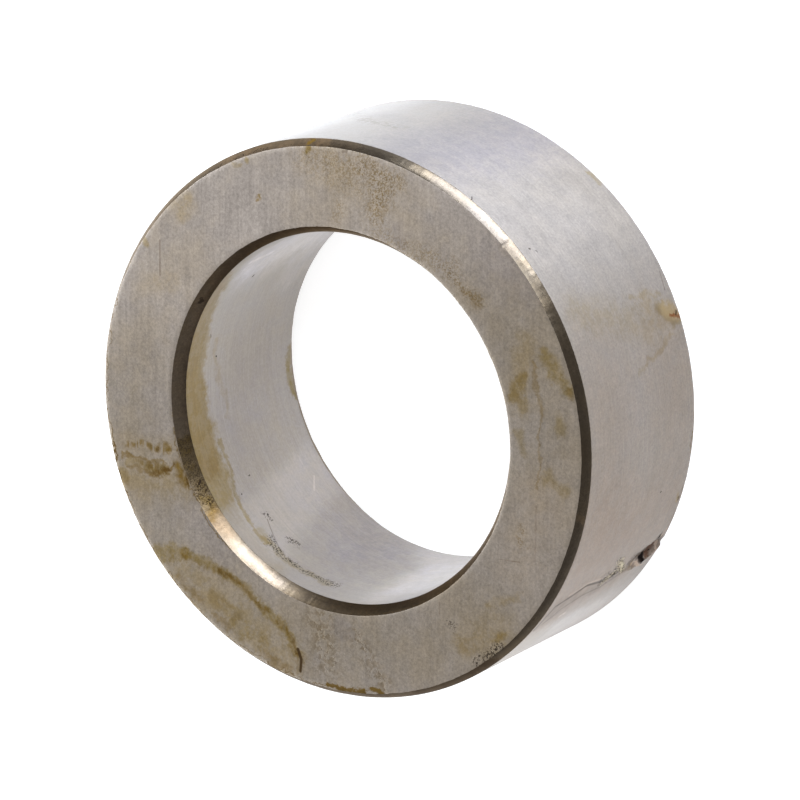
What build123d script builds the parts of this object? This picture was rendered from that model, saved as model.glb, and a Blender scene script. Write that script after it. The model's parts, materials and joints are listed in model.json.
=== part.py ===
from build123d import *
from math import radians, tan
import os

# Spacer sleeve: one thick steel ring, turned, hardened and ground on its bore, its
# outside and both end faces. The four chamfers are left as turned.
# Frame: millimetres, the ring's axis is +Z, and it stands on its lower end face at Z = 0.

# Main sizes
outer_diameter = 60.0
bore_diameter = 40.0
length = 23.5

# Chamfers: how far each runs along the axis, and how far it leans from the axis
outer_chamfer_angle = 35.0
upper_outer_chamfer_length = 0.95
lower_outer_chamfer_length = 1.1
bore_chamfer_angle = 30.0
upper_bore_chamfer_length = 1.5
lower_bore_chamfer_length = 1.4

# The gouge in the outside: a round-bottomed groove, deepest at the lower end face,
# that climbs the wall and runs out of it
gouge_direction = -104.0
gouge_depth = 0.75
gouge_height = 7.5
gouge_round = 1.8

outer_radius = outer_diameter / 2
bore_radius = bore_diameter / 2


def chamfer_step(run, angle):
    """The radial size of a chamfer that runs this far along the axis at this lean."""
    return run * tan(radians(angle))


def ring_section():
    """Half of the ring's section, in the plane of X (radius) and Z (height)."""
    upper_outer_step = chamfer_step(upper_outer_chamfer_length, outer_chamfer_angle)
    lower_outer_step = chamfer_step(lower_outer_chamfer_length, outer_chamfer_angle)
    upper_bore_step = chamfer_step(upper_bore_chamfer_length, bore_chamfer_angle)
    lower_bore_step = chamfer_step(lower_bore_chamfer_length, bore_chamfer_angle)
    corners = [
        (bore_radius + lower_bore_step, 0),
        (outer_radius - lower_outer_step, 0),
        (outer_radius, lower_outer_chamfer_length),
        (outer_radius, length - upper_outer_chamfer_length),
        (outer_radius - upper_outer_step, length),
        (bore_radius + upper_bore_step, length),
        (bore_radius, length - upper_bore_chamfer_length),
        (bore_radius, lower_bore_chamfer_length),
    ]
    outline = Polyline(*corners, close=True)
    return Plane.XZ * make_face(outline)


def turned_ring():
    """The whole ring, turned about its axis."""
    return revolve(ring_section(), axis=Axis.Z, revolution_arc=360)


def gouge_cutter():
    """The round bar that cuts the gouge, leaned so that it leaves the wall at gouge_height."""
    rise = Vector(gouge_depth, 0, gouge_height)
    at_lower_face = Vector(outer_radius + gouge_round - gouge_depth, 0, 0)
    below_the_ring = Plane(origin=at_lower_face - rise, z_dir=rise)
    past_the_wall = at_lower_face + rise * 2
    bar_length = (past_the_wall - below_the_ring.origin).length
    bar = extrude(below_the_ring * Circle(gouge_round), amount=bar_length)
    return Rot(0, 0, gouge_direction) * bar


spacer_sleeve = turned_ring() - gouge_cutter()
spacer_sleeve.label = "spacer_sleeve"

os.makedirs("parts", exist_ok=True)
export_step(spacer_sleeve, "parts/spacer_sleeve.step")
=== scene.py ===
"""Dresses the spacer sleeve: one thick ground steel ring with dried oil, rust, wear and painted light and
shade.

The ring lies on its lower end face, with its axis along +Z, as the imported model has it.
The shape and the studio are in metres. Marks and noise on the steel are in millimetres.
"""

import json
import logging
import math
from dataclasses import dataclass, field
from enum import Enum

import bmesh
import bpy
from mathutils import Matrix, Vector, noise


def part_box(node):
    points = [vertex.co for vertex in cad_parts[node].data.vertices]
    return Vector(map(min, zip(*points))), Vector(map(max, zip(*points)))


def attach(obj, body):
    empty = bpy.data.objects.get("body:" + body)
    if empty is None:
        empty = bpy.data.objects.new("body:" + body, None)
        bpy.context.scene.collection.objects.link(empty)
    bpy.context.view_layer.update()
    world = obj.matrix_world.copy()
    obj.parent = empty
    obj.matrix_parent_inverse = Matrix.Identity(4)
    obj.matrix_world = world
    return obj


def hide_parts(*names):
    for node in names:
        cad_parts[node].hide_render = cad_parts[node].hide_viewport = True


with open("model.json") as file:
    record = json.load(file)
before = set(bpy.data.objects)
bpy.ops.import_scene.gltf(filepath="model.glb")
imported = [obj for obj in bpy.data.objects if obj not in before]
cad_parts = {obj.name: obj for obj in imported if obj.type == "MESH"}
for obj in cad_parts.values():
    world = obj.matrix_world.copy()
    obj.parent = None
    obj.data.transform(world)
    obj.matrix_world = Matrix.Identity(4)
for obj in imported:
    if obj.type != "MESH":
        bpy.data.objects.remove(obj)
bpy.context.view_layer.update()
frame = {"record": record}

NODE = "spacer_sleeve"
MM = 0.001

log = logging.getLogger("sleeve")


class Zone(Enum):
    """The stretches of the ring's skin that were finished in different ways."""

    END_FACE = 0
    OUTSIDE = 1
    BORE = 2
    OUTER_CHAMFER = 3
    BORE_CHAMFER = 4


# Shape


# How near a corner of the section a point counts as lying on that edge.
ON_EDGE = 0.1 * MM
# How near a wall a point counts as lying on it.
ON_WALL = 0.02 * MM
# More than any dent reaches into the outside wall.
DEEPEST_DENT = 1.2 * MM
# The least angle between two sides of the section that makes an edge to break.
SHARP_TURN = math.radians(15.0)
# The least upward or downward share of an end face's normal.
END_FACE_RISE = 0.9
# The greatest upward or downward share of a wall's normal.
WALL_RISE = 0.3
# Vertices nearer than this are joined.
SAME_PLACE = 1e-7
# How far the small cells keep off the edge of the lower chamfer.
CELL_MARGIN = 0.06 * MM
# Vertices nearer than this to a cutting plane count as lying on it.
SAME_PLANE = 1e-8
# A place in noise that has nothing to do with the wall's own.
OTHER_NOISE = 3.0
# The side of the baking layout's square, in outer radii; both walls and faces fit in it.
LAYOUT_SIDE = 4.56
# The gap between the layout's parts, in outer radii.
LAYOUT_GAP = 0.02
# The bearings at which the maps are cut open.
OUTSIDE_SEAM, BORE_SEAM = math.radians(-135.0), math.radians(-60.0)


def direction(bearing_deg: float, elevation_deg: float) -> Vector:
    """The unit vector that points to a bearing and an elevation.

    Args:
        bearing_deg: the bearing, from +X towards +Y.
        elevation_deg: the rise above the floor.

    Returns:
        The direction, of length 1.
    """
    bearing, elevation = math.radians(bearing_deg), math.radians(elevation_deg)
    level = math.cos(elevation)
    return Vector((level * math.cos(bearing), level * math.sin(bearing), math.sin(elevation)))


@dataclass(frozen=True)
class Chamfer:
    """A turned chamfer: how far it runs along the axis, and its lean from the axis."""

    run: float
    lean_deg: float

    @property
    def step(self) -> float:
        """The chamfer's size across the radius."""
        return self.run * math.tan(math.radians(self.lean_deg))


@dataclass(frozen=True)
class Gouge:
    """A boat-shaped pit in the outside wall, with a raised lip on its lower side.

    The places of the lip and the hole are shares of the pit's half length and half width.
    """

    bearing_deg: float = -103.2
    height: float = 4.1 * MM
    half_length: float = 3.3 * MM
    half_width: float = 1.25 * MM
    depth: float = 0.42 * MM
    lean_deg: float = -18.0
    lip: float = 0.10 * MM
    raggedness: float = 0.22
    wobble_length: float = 0.7 * MM
    fine_raggedness: float = 0.06
    fine_length: float = 0.22 * MM
    floor_wobble: float = 0.22
    floor_grain: float = 0.12
    wall_steepness: float = 0.75
    lip_place: float = 1.12
    lip_spread: float = 0.16
    lip_across: float = 0.9
    lip_along: float = 0.35
    hole_along: float = -0.32
    hole_across: float = -0.62
    hole_radius: float = 0.45 * MM
    hole_depth: float = 0.28 * MM

    def local(self, around: float, height: float) -> tuple[float, float]:
        """Turns a place on the wall into lengths along and across the pit.

        Args:
            around: arc length from the pit's bearing, in metres.
            height: height on the wall, in metres.

        Returns:
            The place along and across, as shares of the half length and half width.
        """
        lean = math.radians(self.lean_deg)
        rise = height - self.height
        along = rise * math.cos(lean) + around * math.sin(lean)
        across = around * math.cos(lean) - rise * math.sin(lean)
        return along / self.half_length, across / self.half_width

    def depth_at(self, around: float, height: float) -> float:
        """The pit's depth at a place on the wall; negative where the lip stands proud.

        Args:
            around: arc length from the pit's bearing, in metres.
            height: height on the wall, in metres.

        Returns:
            The depth in metres.
        """
        along, across = self.local(around, height)
        wobble = noise.noise(Vector((around, height, 0.0)) / self.wobble_length)
        fine = noise.noise(Vector((around, height, OTHER_NOISE)) / self.fine_length)
        far = math.hypot(along, across) + self.raggedness * wobble + self.fine_raggedness * fine
        if far < 1.0:
            bowl = (1.0 - far * far) ** self.wall_steepness
            from_hole = math.hypot(
                (along - self.hole_along) * self.half_length,
                (across - self.hole_across) * self.half_width,
            )
            hole = self.hole_depth * math.exp(-((from_hole / self.hole_radius) ** 2))
            return self.depth * bowl * (1.0 + self.floor_wobble * wobble + self.floor_grain * fine) + hole
        lower_side = max(0.0, -across * self.lip_across - along * self.lip_along)
        return -self.lip * lower_side * math.exp(-((far - self.lip_place) / self.lip_spread) ** 2)


@dataclass(frozen=True)
class EdgeWear:
    """How far the ring's edges stray from true circles, and the nick in one of them.

    The finer waver and its length are shares of the waver and of its length.
    """

    waver: float = 0.034 * MM
    waver_length: float = 1.3 * MM
    finer_waver: float = 0.6
    finer_length: float = 0.3
    nick_bearing_deg: float = -25.5
    nick_width: float = 0.40 * MM
    nick_depth: float = 0.22 * MM

    def stray(self, point: Vector) -> float:
        """How far an edge strays near a point.

        Args:
            point: a point on the edge.

        Returns:
            The distance in metres, to either side.
        """
        slow = noise.noise(point / self.waver_length)
        quick = noise.noise(point / (self.finer_length * self.waver_length))
        return self.waver * (slow + self.finer_waver * quick)

    def nick(self, around: float) -> float:
        """How deep the nick is, at an arc length from its middle."""
        return self.nick_depth * max(0.0, 1.0 - abs(around) / self.nick_width)


@dataclass
class SleeveMesh:
    """The ring's mesh, spun from its section and worn at its edges.

    The wall round the gouge is cut into cells, as far as cut_reach half lengths up and
    down, and pressed in as far as dent_reach half lengths.
    """

    outer_radius: float
    bore_radius: float
    length: float
    upper_outer: Chamfer = Chamfer(0.95 * MM, 35.0)
    lower_outer: Chamfer = Chamfer(1.1 * MM, 35.0)
    upper_bore: Chamfer = Chamfer(1.5 * MM, 30.0)
    lower_bore: Chamfer = Chamfer(1.4 * MM, 30.0)
    edge_break: float = 0.025 * MM
    support: float = 0.5 * MM
    columns: int = 1080
    cell: float = 0.09 * MM
    dent_reach: float = 1.5
    cut_reach: float = 1.4
    evening: int = 60
    gouge: Gouge = field(default_factory=Gouge)
    wear: EdgeWear = field(default_factory=EdgeWear)

    def corners(self) -> list[tuple[float, float]]:
        """The section's eight corners as (radius, height), round from the lower face.

        Returns:
            The corners, in metres.
        """
        return [
            (self.bore_radius + self.lower_bore.step, 0.0),
            (self.outer_radius - self.lower_outer.step, 0.0),
            (self.outer_radius, self.lower_outer.run),
            (self.outer_radius, self.length - self.upper_outer.run),
            (self.outer_radius - self.upper_outer.step, self.length),
            (self.bore_radius + self.upper_bore.step, self.length),
            (self.bore_radius, self.length - self.upper_bore.run),
            (self.bore_radius, self.lower_bore.run),
        ]

    def section(self) -> list[tuple[float, float]]:
        """The corners with a support point near each end of every long side.

        Returns:
            The points as (radius, height), in metres.
        """
        points = []
        corners = self.corners()
        for here, after in zip(corners, corners[1:] + corners[:1]):
            start, end = Vector(here), Vector(after)
            points.append(here)
            side = end - start
            if side.length > 4 * self.support:
                step = side.normalized() * self.support
                points.append(tuple(start + step))
                points.append(tuple(end - step))
        return points

    def spin_section(self) -> bmesh.types.BMesh:
        """Spins the section once round the axis and breaks its eight edges.

        Returns:
            The ring, with even facets and no wear yet.
        """
        bm = bmesh.new()
        loop = [bm.verts.new((radius, 0.0, height)) for radius, height in self.section()]
        edges = [bm.edges.new(pair) for pair in zip(loop, loop[1:] + loop[:1])]
        bmesh.ops.spin(
            bm,
            geom=loop + edges,
            cent=(0, 0, 0),
            axis=(0, 0, 1),
            angle=math.tau,
            steps=self.columns,
            use_merge=True,
            use_duplicate=False,
        )
        bmesh.ops.remove_doubles(bm, verts=bm.verts, dist=SAME_PLACE)
        bmesh.ops.recalc_face_normals(bm, faces=bm.faces)
        sharp = [
            edge
            for edge in bm.edges
            if len(edge.link_faces) == 2 and edge.calc_face_angle(0.0) > SHARP_TURN
        ]
        bmesh.ops.bevel(
            bm,
            geom=sharp,
            offset=self.edge_break,
            offset_type="OFFSET",
            segments=2,
            profile=0.5,
            affect="EDGES",
            material=-1,
            clamp_overlap=True,
        )
        return bm

    def wear_edges(self, bm: bmesh.types.BMesh) -> None:
        """Lets each edge stray along the plain side that it bounds, and cuts the nick.

        Args:
            bm: the ring.
        """
        corners = self.corners()
        nicked = corners[4]
        for vert in bm.verts:
            radius = math.hypot(vert.co.x, vert.co.y)
            for corner in corners:
                if math.hypot(radius - corner[0], vert.co.z - corner[1]) > ON_EDGE:
                    continue
                stray = self.wear.stray(vert.co)
                if min(corner[1], self.length - corner[1]) > ON_EDGE:
                    vert.co.z += stray
                    continue
                if corner is nicked:
                    bearing = math.atan2(vert.co.y, vert.co.x)
                    turn = bearing - math.radians(self.wear.nick_bearing_deg)
                    stray -= self.wear.nick(turn * radius)
                vert.co.x *= (radius + stray) / radius
                vert.co.y *= (radius + stray) / radius

    def is_outer_wall(self, point: Vector) -> bool:
        """Whether a point lies on the outside wall."""
        return abs(math.hypot(point.x, point.y) - self.outer_radius) < ON_WALL

    def around_gouge(self, point: Vector) -> float:
        """Arc length on the outside from the gouge's bearing to a point.

        Args:
            point: any point.

        Returns:
            The length in metres, the shorter way round.
        """
        bearing = math.atan2(point.y, point.x) - math.radians(self.gouge.bearing_deg)
        bearing = (bearing + math.pi) % math.tau - math.pi
        return bearing * self.outer_radius

    def near_gouge(self, point: Vector) -> bool:
        """Whether a point lies in the patch of wall that may be pressed in.

        Args:
            point: a point on the outside wall.

        Returns:
            True inside the patch.
        """
        reach = self.dent_reach * self.gouge.half_length
        low, high = self.gouge.height - reach, self.gouge.height + reach
        return abs(self.around_gouge(point)) < reach and low < point.z < high

    def cut_gouge(self, bm: bmesh.types.BMesh) -> None:
        """Cuts the wall into small cells round the gouge and presses them in.

        Args:
            bm: the ring.
        """
        reach = self.cut_reach * self.gouge.half_length
        low = max(self.lower_outer.run + CELL_MARGIN, self.gouge.height - reach)
        high = self.gouge.height + reach
        levels = int((high - low) / self.cell)
        sideways = self.dent_reach * self.gouge.half_length
        for level in range(levels + 1):
            height = low + (high - low) * level / levels
            patch = [
                face
                for face in bm.faces
                if abs(self.around_gouge(face.calc_center_median())) < sideways
                and self.is_outer_wall(face.calc_center_median())
            ]
            edges = {edge for face in patch for edge in face.edges}
            verts = {vert for face in patch for vert in face.verts}
            bmesh.ops.bisect_plane(
                bm,
                geom=patch + list(edges) + list(verts),
                dist=SAME_PLANE,
                plane_co=(0, 0, height),
                plane_no=(0, 0, 1),
            )
        for vert in bm.verts:
            radius = math.hypot(vert.co.x, vert.co.y)
            if radius < self.outer_radius - ON_EDGE or not self.near_gouge(vert.co):
                continue
            depth = self.gouge.depth_at(self.around_gouge(vert.co), vert.co.z)
            if depth:
                share = (radius - depth) / radius
                vert.co.x *= share
                vert.co.y *= share

    def zone_of(self, face: bmesh.types.BMFace) -> Zone:
        """The finish that a face gets, from where it lies and which way it looks.

        Args:
            face: a face of the ring.

        Returns:
            The face's zone.
        """
        centre = face.calc_center_median()
        radius = math.hypot(centre.x, centre.y)
        if abs(face.normal.z) > END_FACE_RISE:
            return Zone.END_FACE
        if abs(face.normal.z) < WALL_RISE and radius < self.bore_radius + ON_WALL:
            return Zone.BORE
        low = self.lower_outer.run + ON_WALL
        high = self.length - self.upper_outer.run - ON_WALL
        if low < centre.z < high and radius > self.outer_radius - DEEPEST_DENT:
            return Zone.OUTSIDE
        is_outer = radius > (self.outer_radius + self.bore_radius) / 2
        return Zone.OUTER_CHAMFER if is_outer else Zone.BORE_CHAMFER

    def lay_out_maps(self, bm: bmesh.types.BMesh) -> None:
        """Gives the ring its two maps: an even layout for baking, and the lay of the tool.

        The layout has the two end faces side by side, and under them the outside in two
        halves and the bore in one strip, with their chamfers.

        Args:
            bm: the ring.
        """
        layout, lay = bm.loops.layers.uv.new("OFBake"), bm.loops.layers.uv.new("lay")
        side = LAYOUT_SIDE * self.outer_radius
        gap = LAYOUT_GAP * self.outer_radius
        strip = self.length + gap
        middle = (self.outer_radius + self.bore_radius) / 2
        for face in bm.faces:
            centre = face.calc_center_median()
            radius = math.hypot(centre.x, centre.y)
            is_end = abs(face.normal.z) > END_FACE_RISE
            seam = OUTSIDE_SEAM if radius > middle else BORE_SEAM
            towards = (math.atan2(centre.y, centre.x) - seam) % math.tau
            for loop in face.loops:
                spot = loop.vert.co
                turn = (math.atan2(spot.y, spot.x) - seam - towards + math.pi) % math.tau
                turn += towards - math.pi
                if is_end:
                    is_upper = centre.z > self.length / 2
                    across = self.outer_radius + gap + is_upper * (2 * self.outer_radius + gap)
                    place = Vector((across + spot.x, side - self.outer_radius - gap + spot.y))
                    along = spot.xy
                elif radius > middle:
                    half = int(towards >= math.pi)
                    arc_length = (turn - half * math.pi) * self.outer_radius
                    place = Vector((gap + arc_length, gap + half * strip + spot.z))
                    along = Vector((turn * self.outer_radius, spot.z))
                else:
                    place = Vector((gap + turn * self.bore_radius, gap + 2 * strip + spot.z))
                    along = Vector((turn * self.bore_radius, spot.z))
                loop[layout].uv = place / side
                loop[lay].uv = along / side

    def build(self) -> bpy.types.Object:
        """Builds the ring.

        Returns:
            The ring's object, at the origin, with its faces sorted into zones.
        """
        bm = self.spin_section()
        self.wear_edges(bm)
        self.cut_gouge(bm)
        for face in bm.faces:
            face.smooth = True
            face.material_index = self.zone_of(face).value
        self.lay_out_maps(bm)
        mesh = bpy.data.meshes.new("spacer_sleeve_ring")
        bm.to_mesh(mesh)
        bm.free()
        ring = bpy.data.objects.new("spacer_sleeve_ring", mesh)
        bpy.context.scene.collection.objects.link(ring)
        evened = ring.modifiers.new("even_shading", "WEIGHTED_NORMAL")
        evened.mode = "FACE_AREA"
        evened.weight = self.evening
        return ring


# Finishes


Colour = tuple[float, float, float]
Place = tuple[float, float]
Socket = bpy.types.NodeSocket

MM_PER_METRE = 1000.0
# How far noise is spread about 0, from its own range of 1.
SWING = 4.0
# How sharply the speckle's cut runs, on each side of it.
CUT_SOFTNESS = 0.07
# The band of patch noise over which a mark comes and goes.
PATCH_BAND = (0.40, 0.58)
# The band of mixed cloud noise over which the steel goes from cool to warm.
WARMTH_BAND = (0.38, 0.62)
# Where a mark's darker rim lies, and its half width, in half widths of the mark.
RIM_PLACE, RIM_WIDTH = 0.9, 0.16
# How far marks wander, in millimetres each way.
WANDER_REACH = 1.3
# A step to a stretch of noise that has nothing to do with the first.
ELSEWHERE = (37.0, 11.0, 5.0)
# Keeps a stroke of no length from dividing by nothing.
LEAST_SPAN = 1e-6
# How far position is drawn out along the lines of a turned and of a ground surface.
TURNED_STRETCH, GROUND_STRETCH = (0.09, 0.09, 4.5), (0.10, 3.2, 1.0)
# The way that the end faces were ground.
GROUND_LAY_DEG = -16.7
COAT_ROUGHNESS = 0.25
SPECULAR_LEVEL = 0.05
# A quarter of a turn, as the shader counts it in turns.
LAY_TURN = 0.25


@dataclass(frozen=True)
class Noise:
    """A kind of noise: its cells per millimetre, its layers of detail and their strength."""

    scale: float
    detail: float = 3.0
    rough: float = 0.55


BROAD = Noise(0.09)
CLOUDS = Noise(0.4, 5.0, 0.65)
RAGGED = Noise(1.6, 4.0, 0.65)
PATCHES = Noise(0.7, 5.0, 0.7)
GRAIN = Noise(3.6, 3.0, 0.75)
SPECKLES = Noise(5.6, 2.0, 0.6)
TOOL_LINES = Noise(1.0, 3.0, 0.7)
WANDERING = Noise(0.5, 4.0, 0.62)


class Wiring:
    """Adds nodes to one node tree and joins them."""

    def __init__(self, tree: bpy.types.NodeTree) -> None:
        """Keeps the tree that the nodes go into."""
        self.tree = tree

    def add(self, kind: str, **settings: object) -> bpy.types.Node:
        """Adds a node of a kind, with its settings.

        Args:
            kind: the node's type.
            settings: the node's own properties, by name.

        Returns:
            The node.
        """
        node = self.tree.nodes.new(kind)
        for name, value in settings.items():
            setattr(node, name, value)
        return node

    def put(self, socket: Socket, source: object) -> None:
        """Joins a socket to the source if that is a socket, and otherwise sets its value.

        Args:
            socket: the input to feed.
            source: a socket, a value, or None to leave the input as it is.
        """
        if isinstance(source, bpy.types.NodeSocket):
            self.tree.links.new(source, socket)
        elif source is not None:
            is_colour = socket.type == "RGBA" and len(source) == 3
            socket.default_value = (*source, 1.0) if is_colour else source

    def maths(self, operation: str, *sources: object) -> Socket:
        """Adds a Math node and gives its result.

        Args:
            operation: the node's operation.
            sources: what its inputs take, in order.

        Returns:
            The result.
        """
        node = self.add("ShaderNodeMath", operation=operation)
        for socket, source in zip(node.inputs, sources):
            self.put(socket, source)
        return node.outputs[0]

    def vectors(self, operation: str, *sources: object) -> bpy.types.Node:
        """Adds a Vector Math node; a plain number goes to its Scale.

        Args:
            operation: the node's operation.
            sources: what its inputs take, in order.

        Returns:
            The node.
        """
        node = self.add("ShaderNodeVectorMath", operation=operation)
        for index, source in enumerate(sources):
            is_scale = operation == "SCALE" and index == 1
            self.put(node.inputs["Scale"] if is_scale else node.inputs[index], source)
        return node

    def blend(self, share: object, first: object, second: object, how: str = "MIX") -> Socket:
        """Blends two colours and gives the result; a share above 1 goes past the second.

        Args:
            share: how much of the second.
            first: the colour at a share of 0.
            second: the colour at a share of 1.
            how: the way of blending.

        Returns:
            The blended colour.
        """
        node = self.add("ShaderNodeMix", data_type="RGBA", blend_type=how, clamp_factor=False)
        for name, source in (("Factor_Float", share), ("A_Color", first), ("B_Color", second)):
            self.put(next(s for s in node.inputs if s.identifier == name), source)
        return next(s for s in node.outputs if s.identifier == "Result_Color")

    def slide(self, share: object, first: object, second: object) -> Socket:
        """Blends two numbers and gives the result.

        Args:
            share: how much of the second.
            first: the number at a share of 0.
            second: the number at a share of 1.

        Returns:
            The blended number.
        """
        node = self.add("ShaderNodeMix", data_type="FLOAT")
        for name, source in (("Factor_Float", share), ("A_Float", first), ("B_Float", second)):
            self.put(next(s for s in node.inputs if s.identifier == name), source)
        return next(s for s in node.outputs if s.identifier == "Result_Float")

    def ease(self, value: object, low: object, high: object) -> Socket:
        """A smooth step from 0 at low to 1 at high.

        Args:
            value: what is compared.
            low: where the step starts.
            high: where it ends.

        Returns:
            The step.
        """
        node = self.add("ShaderNodeMapRange", interpolation_type="SMOOTHSTEP", clamp=False)
        self.put(node.inputs["Value"], value)
        self.put(node.inputs["From Min"], low)
        self.put(node.inputs["From Max"], high)
        return node.outputs[0]

    def noise(self, place: object, kind: Noise) -> Socket:
        """Adds noise of a kind and gives its value, which lies about 0.5.

        Args:
            place: where the noise is read.
            kind: its size and detail.

        Returns:
            The noise's value.
        """
        node = self.add("ShaderNodeTexNoise")
        self.put(node.inputs["Vector"], place)
        self.put(node.inputs["Scale"], kind.scale)
        self.put(node.inputs["Detail"], kind.detail)
        self.put(node.inputs["Roughness"], kind.rough)
        return node.outputs["Fac"]

    def swing(self, value: object) -> Socket:
        """Spreads a noise's value about 0."""
        return self.maths("MULTIPLY_ADD", value, SWING, -SWING / 2)


class Group:
    """A shader node group with named sockets, built once and placed many times."""

    name = "group"
    takes: dict[str, object] = {}
    gives: dict[str, str] = {}

    def wire(self, wiring: Wiring, taken: dict[str, Socket]) -> dict[str, Socket]:
        """Wires the inside of the group; each kind of group says how."""
        raise NotImplementedError

    def tree(self) -> bpy.types.NodeTree:
        """The group's tree, built the first time that it is asked for.

        Returns:
            The tree.
        """
        if self.name in bpy.data.node_groups:
            return bpy.data.node_groups[self.name]
        tree = bpy.data.node_groups.new(self.name, "ShaderNodeTree")
        kinds = {float: "NodeSocketFloat", tuple: "NodeSocketVector", str: "NodeSocketColor"}
        for name, value in self.takes.items():
            socket = tree.interface.new_socket(name, in_out="INPUT", socket_type=kinds[type(value)])
            if isinstance(value, float):
                socket.default_value = value
        for name, kind in self.gives.items():
            tree.interface.new_socket(name, in_out="OUTPUT", socket_type=f"NodeSocket{kind}")
        wiring = Wiring(tree)
        start, end = wiring.add("NodeGroupInput"), wiring.add("NodeGroupOutput")
        given = self.wire(wiring, {name: start.outputs[name] for name in self.takes})
        for name, socket in given.items():
            wiring.put(end.inputs[name], socket)
        return tree

    def place(self, wiring: Wiring, **sources: object) -> dict[str, Socket]:
        """Places the group in a tree.

        Args:
            wiring: the tree that the group goes into.
            sources: what each input takes, by its name with _ for each space.

        Returns:
            The group's outputs, by name.
        """
        node = wiring.add("ShaderNodeGroup", node_tree=self.tree())
        for name, source in sources.items():
            wiring.put(node.inputs[name.replace("_", " ")], source)
        return {name: node.outputs[name] for name in self.gives}


class GroundSkin(Group):
    """The skin of cut steel: cloudy tone, fine grain and the lines that the tool left.

    The rise is the height of the lines in millimetres, and the grain's is a share of it.
    """

    name = "ground_skin"
    cloud_share = 0.4
    cloud_rough = 0.16
    line_rough = 0.10
    grain_share = 0.8
    rise = 0.004
    takes = {
        "Place": (),
        "Lay": (),
        "Cool": "",
        "Warm": "",
        "Cloud": 0.06,
        "Grain": 0.1,
        "Lines": 0.06,
        "Roughness": 0.34,
        "Relief": 1.0,
    }
    gives = {
        "Colour": "Color",
        "Roughness": "Float",
        "Height": "Float",
        "Ragged": "Float",
        "Patch": "Float",
        "Speckle": "Float",
        "Streaks": "Float",
    }

    def wire(self, wiring: Wiring, taken: dict[str, Socket]) -> dict[str, Socket]:
        """Wires clouds, grain and lines into colour, roughness and height.

        Args:
            wiring: the tree of the group.
            taken: the group's inputs, by name.

        Returns:
            The group's outputs, by name.
        """
        place = taken["Place"]
        broad = wiring.noise(place, BROAD)
        cloud = wiring.noise(place, CLOUDS)
        ragged = wiring.noise(place, RAGGED)
        patch = wiring.noise(place, PATCHES)
        grain = wiring.noise(place, GRAIN)
        speckle = wiring.noise(place, SPECKLES)
        lines = wiring.noise(taken["Lay"], TOOL_LINES)
        warmth = wiring.ease(wiring.slide(self.cloud_share, broad, cloud), *WARMTH_BAND)
        tone = wiring.blend(warmth, taken["Cool"], taken["Warm"])
        level: object = 1.0
        for noise_value, contrast in ((cloud, "Cloud"), (grain, "Grain"), (lines, "Lines")):
            level = wiring.maths("MULTIPLY_ADD", wiring.swing(noise_value), taken[contrast], level)
        colour = wiring.blend(level, (0.0, 0.0, 0.0), tone)
        rough = wiring.maths("MULTIPLY_ADD", cloud, self.cloud_rough, -self.cloud_rough / 2)
        even = wiring.maths("ADD", rough, -self.line_rough / 2)
        rough = wiring.maths("MULTIPLY_ADD", lines, self.line_rough, even)
        rough = wiring.maths("ADD", rough, taken["Roughness"])
        rises = wiring.maths("MULTIPLY_ADD", grain, self.grain_share, lines)
        height = wiring.maths("MULTIPLY", rises, self.rise)
        height = wiring.maths("MULTIPLY", height, taken["Relief"])
        return {
            "Colour": colour,
            "Roughness": rough,
            "Height": height,
            "Ragged": ragged,
            "Patch": patch,
            "Speckle": speckle,
            "Streaks": lines,
        }


class Wander(Group):
    """Shifts the places on a surface a little, so that marks run as dried liquid does."""

    name = "wander"
    takes = {"Place": (), "Position": ()}
    gives = {"Place": "Vector"}

    def wire(self, wiring: Wiring, taken: dict[str, Socket]) -> dict[str, Socket]:
        """Wires two fields of noise into a shift along and across the surface.

        Args:
            wiring: the tree of the group.
            taken: the group's inputs, by name.

        Returns:
            The group's outputs, by name.
        """
        along = wiring.noise(taken["Position"], WANDERING)
        apart = wiring.vectors("ADD", taken["Position"], ELSEWHERE).outputs[0]
        across = wiring.noise(apart, WANDERING)
        shift = wiring.add("ShaderNodeCombineXYZ")
        for axis, value in (("X", along), ("Y", across)):
            moved = wiring.maths("MULTIPLY_ADD", value, 2 * WANDER_REACH, -WANDER_REACH)
            wiring.put(shift.inputs[axis], moved)
        return {"Place": wiring.vectors("ADD", taken["Place"], shift.outputs[0]).outputs[0]}


class Stroke(Group):
    """How far a place lies from a straight stroke, in half widths of the stroke."""

    name = "stroke"
    takes = {"Place": (), "From": (), "Span": (), "Half Width": 1.0}
    gives = {"Distance": "Float"}

    def wire(self, wiring: Wiring, taken: dict[str, Socket]) -> dict[str, Socket]:
        """Wires the distance to the nearest point of the stroke.

        Args:
            wiring: the tree of the group.
            taken: the group's inputs, by name.

        Returns:
            The group's outputs, by name.
        """
        away = wiring.vectors("SUBTRACT", taken["Place"], taken["From"]).outputs[0]
        along = wiring.vectors("DOT_PRODUCT", away, taken["Span"]).outputs["Value"]
        whole = wiring.vectors("DOT_PRODUCT", taken["Span"], taken["Span"]).outputs["Value"]
        share = wiring.maths("DIVIDE", along, wiring.maths("MAXIMUM", whole, LEAST_SPAN))
        share = wiring.maths("MAXIMUM", wiring.maths("MINIMUM", share, 1.0), 0.0)
        nearest = wiring.vectors("SCALE", taken["Span"], share).outputs[0]
        gap = wiring.vectors("SUBTRACT", away, nearest).outputs[0]
        length = wiring.vectors("LENGTH", gap).outputs["Value"]
        return {"Distance": wiring.maths("DIVIDE", length, taken["Half Width"])}


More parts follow.
